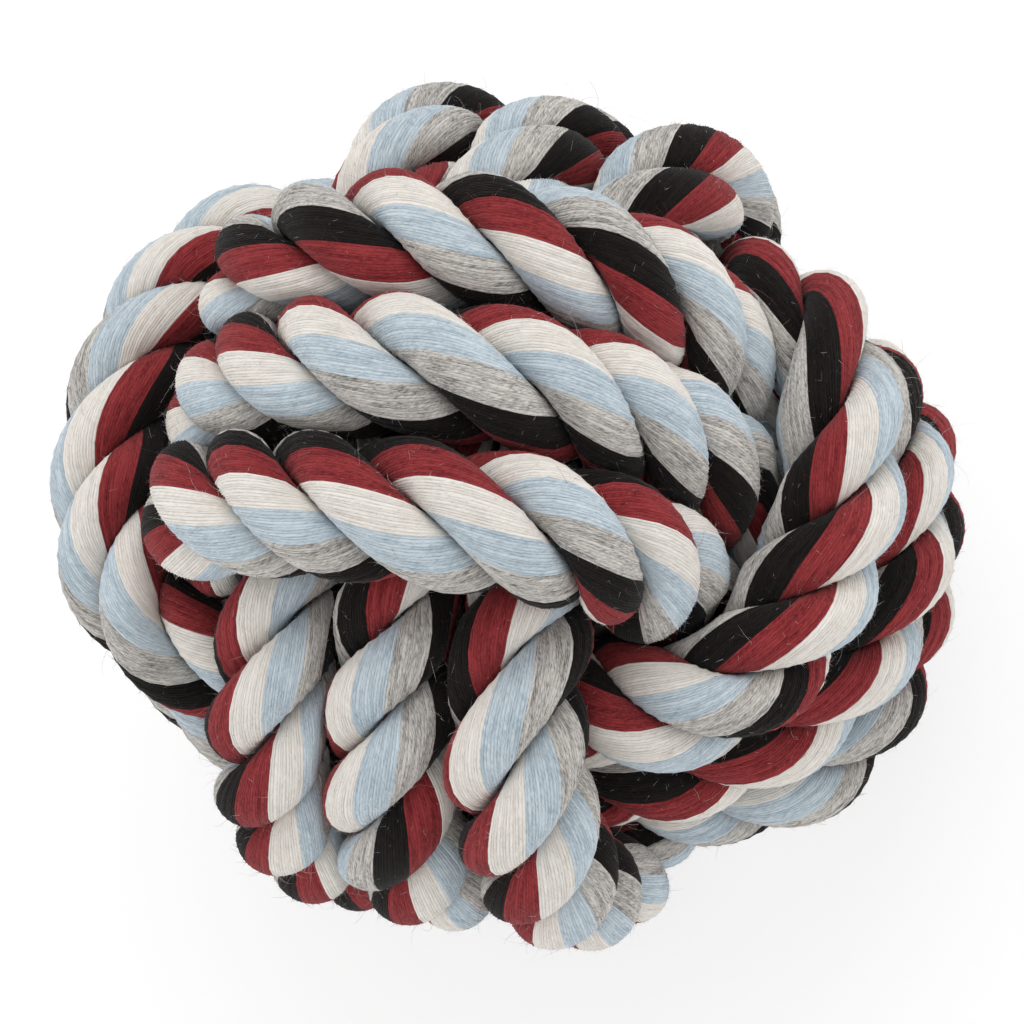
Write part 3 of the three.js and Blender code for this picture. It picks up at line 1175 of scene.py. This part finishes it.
@dataclass
class Fuzz:
    """Loose fibres that stand off the yarns: many short ones and a few long, bent ones.

    Attributes:
        strays: share of the fibres that come from a yarn of another colour.
        bare: distance from the ball's middle within which the rope is hidden.
        outward: least cosine of the angle between a root's normal and the way outwards.
        tries: places drawn for each fibre, of which those on the outside are kept.
        swing: radians that a fibre's way strays from the yarn's.
        unevenness, lengths: spread of the lengths' logarithms, and least and most length.
        rises, bend: how far a fibre rises and bends aside, as shares of its length.
        thickness, thicknesses: radius at the root, and the least and most share of it.
        taper: share of its thickness that a fibre loses.
        seed: where the random draws start.
    """

    rope: Rope
    finish: SpunCotton
    long: Fibre = Fibre(1200, 1.6, 4)
    short: Fibre = Fibre(33000, 0.55, 1)
    strays: float = 0.2
    bare: float = 46.0
    outward: float = 0.05
    tries: int = 4
    swing: float = 0.9
    unevenness: float = 0.5
    lengths: tuple[float, float] = (0.3, 5.0)
    rises: tuple[float, float] = (0.3, 1.1)
    bend: float = 0.8
    sunk: float = 0.05
    thickness: float = 0.022
    thicknesses: tuple[float, float] = (0.6, 1.3)
    taper: float = 0.6
    floor_gap: float = 0.03
    seed: int = 5

    def roots(
        self, draw: np.random.Generator, count: int, rings: list[tuple[Array, ...]]
    ) -> tuple[Array, ...]:
        """Places on the outside of a band where fibres leave it.

        Args:
            draw: the random draws.
            count: number of fibres wanted.
            rings: for each strand its rings, their outward directions and distances.

        Returns:
            Points, outward directions, directions along the yarn, and places on the map.
        """
        columns = self.rope.columns
        found = []
        for strand, (at, normal, far) in enumerate(rings):
            i = draw.integers(1, len(at) - 1, self.tries * count)
            j = draw.integers(0, columns, self.tries * count)
            outside = dot(normal[i, j], unit(at[i, j]))[:, 0] > self.outward
            outside &= np.linalg.norm(at[i, j], axis=1) > self.bare
            i, j = (x[outside][: count // 3] for x in (i, j))
            along = unit(at[i + 1, j] - at[i - 1, j])
            stray = draw.random(len(j)) < self.strays
            yarn = np.where(stray, draw.integers(0, columns, len(j)), j)
            away = far[i] * METRES + self.rope.own_map * strand
            place = np.column_stack([(yarn + 0.5) / columns, away])
            found.append((at[i, j], normal[i, j], along, place))
        return tuple(np.vstack(rows) for rows in zip(*found))

    def tuft(
        self, draw: np.random.Generator, kind: Fibre, rings: list[tuple[Array, ...]]
    ) -> Surface:
        """Fibres of one kind.

        A fibre leaves its root along the yarn, turned aside, rises on a curve that
        flattens (2t - t^2) and bends sideways by t^2. It has three sides, tapers to a
        tip, and takes the colour of the yarn that it comes from.

        Args:
            draw: the random draws.
            kind: the kind of fibre.
            rings: for each strand its rings, their outward directions and distances.

        Returns:
            The surface of all the fibres.
        """
        root, up, ahead, place = self.roots(draw, kind.count, rings)
        n = len(root)
        turn = draw.normal(0.0, self.swing, n)
        way = np.sign(draw.uniform(-1, 1, n))[:, None]
        heading = around(turn, way * ahead, unit(np.cross(ahead, up)))
        size = kind.length * draw.lognormal(0.0, self.unevenness, n)
        size = np.clip(size, *self.lengths)[:, None]
        rise = size * draw.uniform(*self.rises, n)[:, None]
        bend = size * draw.normal(0.0, self.bend, n)[:, None]
        aside = unit(np.cross(heading, up))
        t = np.linspace(0.0, 1.0, kind.joints + 1)[None, :, None]
        line = (
            root[:, None]
            + heading[:, None] * size[:, None] * t
            + up[:, None] * (rise[:, None] * (2 * t - t * t) - self.sunk)
            + aside[:, None] * bend[:, None] * t * t
        )
        thin = self.thickness * draw.uniform(*self.thicknesses, n)[:, None, None, None]
        thin = thin * (1 - self.taper * t[:, :-1, :, None])
        spoke = THIRD * np.arange(3)
        corners = around(spoke, aside[:, None, None], up[:, None, None])
        sides = line[:, :-1, None] + thin * corners
        points = np.concatenate([sides.reshape(n, -1, 3), line[:, -1:]], axis=1)
        lowest = self.rope.route.floor + self.floor_gap
        points[..., 2] = np.maximum(points[..., 2], lowest)

        tip = 3 * kind.joints
        edges = ((0, 1), (1, 2), (2, 0))
        walls = [
            (r + k, r + m, r + 3 + m, r + 3 + k)
            for r in range(0, tip - 3, 3)
            for k, m in edges
        ]
        point = [(tip - 3 + k, tip - 3 + m, tip, -1) for k, m in edges]
        one = np.array([*walls, *point, (2, 1, 0, -1)])
        faces = np.where(one >= 0, one + (tip + 1) * np.arange(n)[:, None, None], -1)
        maps = np.repeat(np.repeat(place[:, None, None], len(one), 1), 4, 2)
        return Surface(
            points.reshape(-1, 3),
            faces.reshape(-1, 4),
            {self.finish.map_name: maps.reshape(-1, 4, 2)},
        )

    def fibres(self, band: int, first: int, last: int) -> Surface:
        """All the loose fibres on the outside of a band.

        Args:
            band: the band's number.
            first: first step of the route.
            last: last step.

        Returns:
            The surface.
        """
        draw = np.random.default_rng(self.seed + band)
        rings = [self.rope.rings(strand, first, last) for strand in range(3)]
        few = self.tuft(draw, self.long, rings)
        return few.joined(self.tuft(draw, self.short, rings))


@dataclass
class Core:
    """The hidden wad of waste yarn that the knot is tied round.

    Attributes:
        winds: the axes that the yarn is wound about.
        groove: depth of a groove.
        grooved, crowned: shares of it that the surface sinks by, and rises by on a crown.
    """

    radius: float
    rings: int = 72
    columns: int = 144
    winds: tuple[Triple, ...] = ((1.0, 0.3, 0.1), (-0.2, 1.0, 0.4), (0.3, -0.3, 1.0))
    turns: int = 26
    groove: float = 0.45
    grooved: float = 0.6
    crowned: float = 0.4

    def wad(self) -> Surface:
        """A ball wound three ways.

        A sphere whose radius follows the highest of three sets of turns. Each set is the
        cosine of the angle from its axis, after that is multiplied by turns.

        Returns:
            The surface.
        """
        down = np.linspace(0, math.pi, self.rings + 2)[1:-1, None]
        round_ = -TURN * np.arange(self.columns)[None, :] / self.columns
        x, y, z = np.eye(3)
        way = around(down, z, around(round_, x, y))
        sets = [
            np.cos(self.turns * np.arccos(np.clip(way @ unit(np.array(a)), -1, 1)))
            for a in self.winds
        ]
        sunk = self.grooved - self.crowned * np.max(sets, axis=0)
        rings = (self.radius - self.groove * sunk)[..., None] * way
        return Surface.tube(rings, self.radius * np.array([z, -z]))


class RopeEnd(Enum):
    """The rope's two ends."""

    START = "start"
    FINISH = "finish"


@dataclass
class Whipping:
    """Turns of fine twine round one end of the rope."""

    knot: Knot
    route: Route
    sides: int = 8
    steps: int = 20

    def coil(self, end: RopeEnd) -> Surface:
        """A helix of twine whose middle line lies half a twine inside the tail's radius.

        Args:
            end: which end of the rope it binds.

        Returns:
            The surface.
        """
        knot, route = self.knot, self.route
        turns = knot.whipping_length / knot.twine - 1
        angle = TURN * np.arange(int(turns * self.steps) + 1) / self.steps
        far = knot.twine * (0.5 + angle / TURN)
        if end is RopeEnd.FINISH:
            far = route.along[-1] - knot.whipping_length + far
        at, out, side = (
            rows_at(far, route.along, rows) for rows in (route.at, route.out, route.side)
        )
        way = around(angle, out, side)
        line = at + (knot.tail / 2 - knot.twine / 2) * way
        ahead = unit(np.gradient(line, axis=0))
        away = square_to(ahead, way)
        round_ = TURN * np.arange(self.sides) / self.sides
        spokes = around(round_, away[:, None], np.cross(ahead, away)[:, None])
        return Surface.tube(line[:, None] + knot.twine / 2 * spokes, line[[0, -1]])


@dataclass(frozen=True)
class Lamp:
    """A lamp's watts, and its way from the ball along the camera's right, up and back."""

    name: str
    way: Triple
    power: float


def grey(level: float) -> tuple[float, ...]:
    """A colour with no hue."""
    return (level, level, level, 1.0)


@dataclass
class Studio:
    """A pale floor, soft light and a camera where the photograph was taken from.

    Attributes:
        floor: height of the floor, in millimetres from the ball's middle.
        turn: the camera's turn, as a vector along its axis, in radians.
        scale: pixels of the photograph for a millimetre at the ball's middle.
        aside: pixels that the ball's middle stands off the photograph's middle.
        distance: from the camera to the ball's middle.
        frame: pixels across the photograph.
        lamps: wide lamps at the photograph's top, front and two lower sides.
        lamp_distance, lamp_size: metres from a lamp to the ball's middle, and its side.
        glow, shaded: the floor's own light to the camera, and its share of other light.
        pale, reach: the floor's colour to everything else, and half of its side.
    """

    floor: float
    turn: Triple = (-0.3594, -0.2904, -0.1242)
    scale: float = 7.2
    aside: tuple[float, float] = (-1.0, -1.0)
    distance: float = 1040.0
    frame: float = 1024.0
    sensor: float = 36.0
    sky: float = 0.62
    lamps: tuple[Lamp, ...] = (
        Lamp("key", (-0.15, 1.0, 0.75), 10.3),
        Lamp("fill", (0.2, -0.2, 1.0), 1.9),
        Lamp("right", (1.0, -0.3, 0.3), 8.5),
        Lamp("left", (-1.0, -0.5, 0.1), 8.5),
    )
    lamp_distance: float = 1.5
    lamp_size: float = 1.2
    lamp_up: Triple = (0.0, 0.3, 1.0)
    glow: float = 0.74
    shaded: float = 0.3
    pale: float = 0.95
    reach: float = 3000.0

    @property
    def axes(self) -> Array:
        """The camera's directions: the axes turned about turn by its length, in radians.

        Returns:
            Right, up and backward, as rows.
        """
        v = np.array(self.turn)
        angle = float(np.linalg.norm(v))
        x, y, z = v / angle
        cross = np.array([(0, -z, y), (z, 0, -x), (-y, x, 0)])
        return np.eye(3) + math.sin(angle) * cross + (1 - math.cos(angle)) * cross @ cross

    @property
    def eye(self) -> Array:
        """Where the camera stands, in millimetres from the ball's middle."""
        x, y = self.aside
        return self.axes.T @ np.array([-x / self.scale, y / self.scale, self.distance])

    def stand(
        self, name: str, data: bpy.types.ID, axes: Array, at: Array
    ) -> bpy.types.Object:
        """Puts up a camera or a lamp.

        Args:
            name: its name.
            data: what it is.
            axes: its right, up and backward directions, as columns.
            at: its place, in metres from the ball's middle.

        Returns:
            The object.
        """
        made = bpy.data.objects.new(name, data)
        turn = np.eye(4)
        turn[:3, :3], turn[:3, 3] = axes, at - np.array([0, 0, self.floor * METRES])
        made.matrix_world = Matrix(turn.tolist())
        bpy.context.scene.collection.objects.link(made)
        return made

    def camera(self) -> None:
        """Puts the camera where it sees the ball as the photograph does."""
        data = bpy.data.cameras.new("camera")
        data.sensor_width = self.sensor
        data.lens = self.scale * self.distance * self.sensor / self.frame
        made = self.stand("camera", data, self.axes.T, self.eye * METRES)
        bpy.context.scene.camera = made

    def light(self) -> None:
        """Even sky, and the lamps."""
        world = bpy.data.worlds.new("sky")
        world.use_nodes = True
        back = world.node_tree.nodes["Background"]
        back.inputs["Color"].default_value = grey(1.0)
        back.inputs["Strength"].default_value = self.sky
        bpy.context.scene.world = world
        for lamp in self.lamps:
            data = bpy.data.lights.new(lamp.name, "AREA")
            data.energy, data.size = lamp.power, self.lamp_size
            back = unit(self.axes.T @ np.array(lamp.way))
            right = unit(np.cross(np.array(self.lamp_up), back))
            axes = np.column_stack([right, np.cross(back, right), back])
            made = self.stand(lamp.name, data, axes, self.lamp_distance * back)
            made.visible_camera = False

    def ground(self) -> bpy.types.Object:
        """A wide pale floor: nearly white to the camera, with the ball's soft shadow on it.

        Returns:
            The floor.
        """
        g = Graph("pale_floor")
        seen = g.node("LightPath").outputs["Is Camera Ray"]
        glow = g.node("Emission", {"Color": grey(1.0), "Strength": self.glow})
        shaded, pale = (
            g.node("BsdfDiffuse", {"Color": grey(level)})
            for level in (self.shaded, self.pale)
        )
        white = g.node("AddShader", {0: glow.outputs[0], 1: shaded.outputs[0]})
        both = g.node("MixShader", {0: seen, 1: pale.outputs[0], 2: white.outputs[0]})
        corners = self.reach * np.array([(-1, -1, 0), (1, -1, 0), (1, 1, 0), (-1, 1, 0)])
        flat = Surface(corners + (0, 0, self.floor), np.array([(0, 1, 2, 3)]))
        return flat.piece("floor", g.surface(both), self.floor)


def place(piece: bpy.types.Object, slot: str, *nodes: str) -> None:
    """Fastens a piece to the ball and hides the solids that it stands for.

    Args:
        piece: the piece.
        slot: its finish; not used.
        nodes: the solids.
    """
    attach(piece, "root")
    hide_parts(*nodes)
    LOG.info("%s: %d faces", piece.name, len(piece.data.polygons))


def main() -> None:
    """Builds the ball and its studio."""
    logging.basicConfig(level=logging.INFO, format="%(message)s")
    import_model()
    bpy.context.scene.view_settings.view_transform = "Standard"

    knot = Knot()
    route = knot.route()
    studio = Studio(route.floor)
    rope = Rope(knot, route, Lay(), studio.eye)
    LOG.info("rope: %.0f mm", route.along[-1])

    steps = [0, *np.searchsorted(route.along, route.cuts), len(route.at) - 1]
    names = ("start_tail", "first_band", "second_band", "third_band", "finish_tail")
    cotton = SpunCotton().material()
    loose = SpunCotton("loose_fibres", lift=0.06)
    fuzz = Fuzz(rope, loose)
    loose_cotton = loose.material()
    for i, name in enumerate(names):
        length = steps[i], steps[i + 1]
        for strand, letter in enumerate("abc"):
            made = rope.strand(strand, *length)
            piece = made.piece(f"{name}_strand_{letter}", cotton, route.floor)
            place(piece, "rope", name)
        if name.endswith("band"):
            piece = fuzz.fibres(i, *length).piece(f"{name}_fuzz", loose_cotton, route.floor)
            place(piece, "rope", name)

    waste = WoundYarn("waste_yarn", (0.30, 0.26, 0.22), (0.62, 0.56, 0.49), 400.0)
    wad = Core(knot.core_radius).wad()
    place(wad.piece("core_wad", waste.material(), route.floor), "core", "core")
    twine = WoundYarn("whipping_twine", (0.55, 0.49, 0.40), (0.80, 0.74, 0.64), 3000.0)
    bound = twine.material()
    for end in RopeEnd:
        name = f"{end.value}_whipping"
        coil = Whipping(knot, route).coil(end)
        place(coil.piece(f"{name}_coil", bound, route.floor), "twine", name)

    studio.ground()
    studio.camera()
    studio.light()


if __name__ == "__main__":
    main()
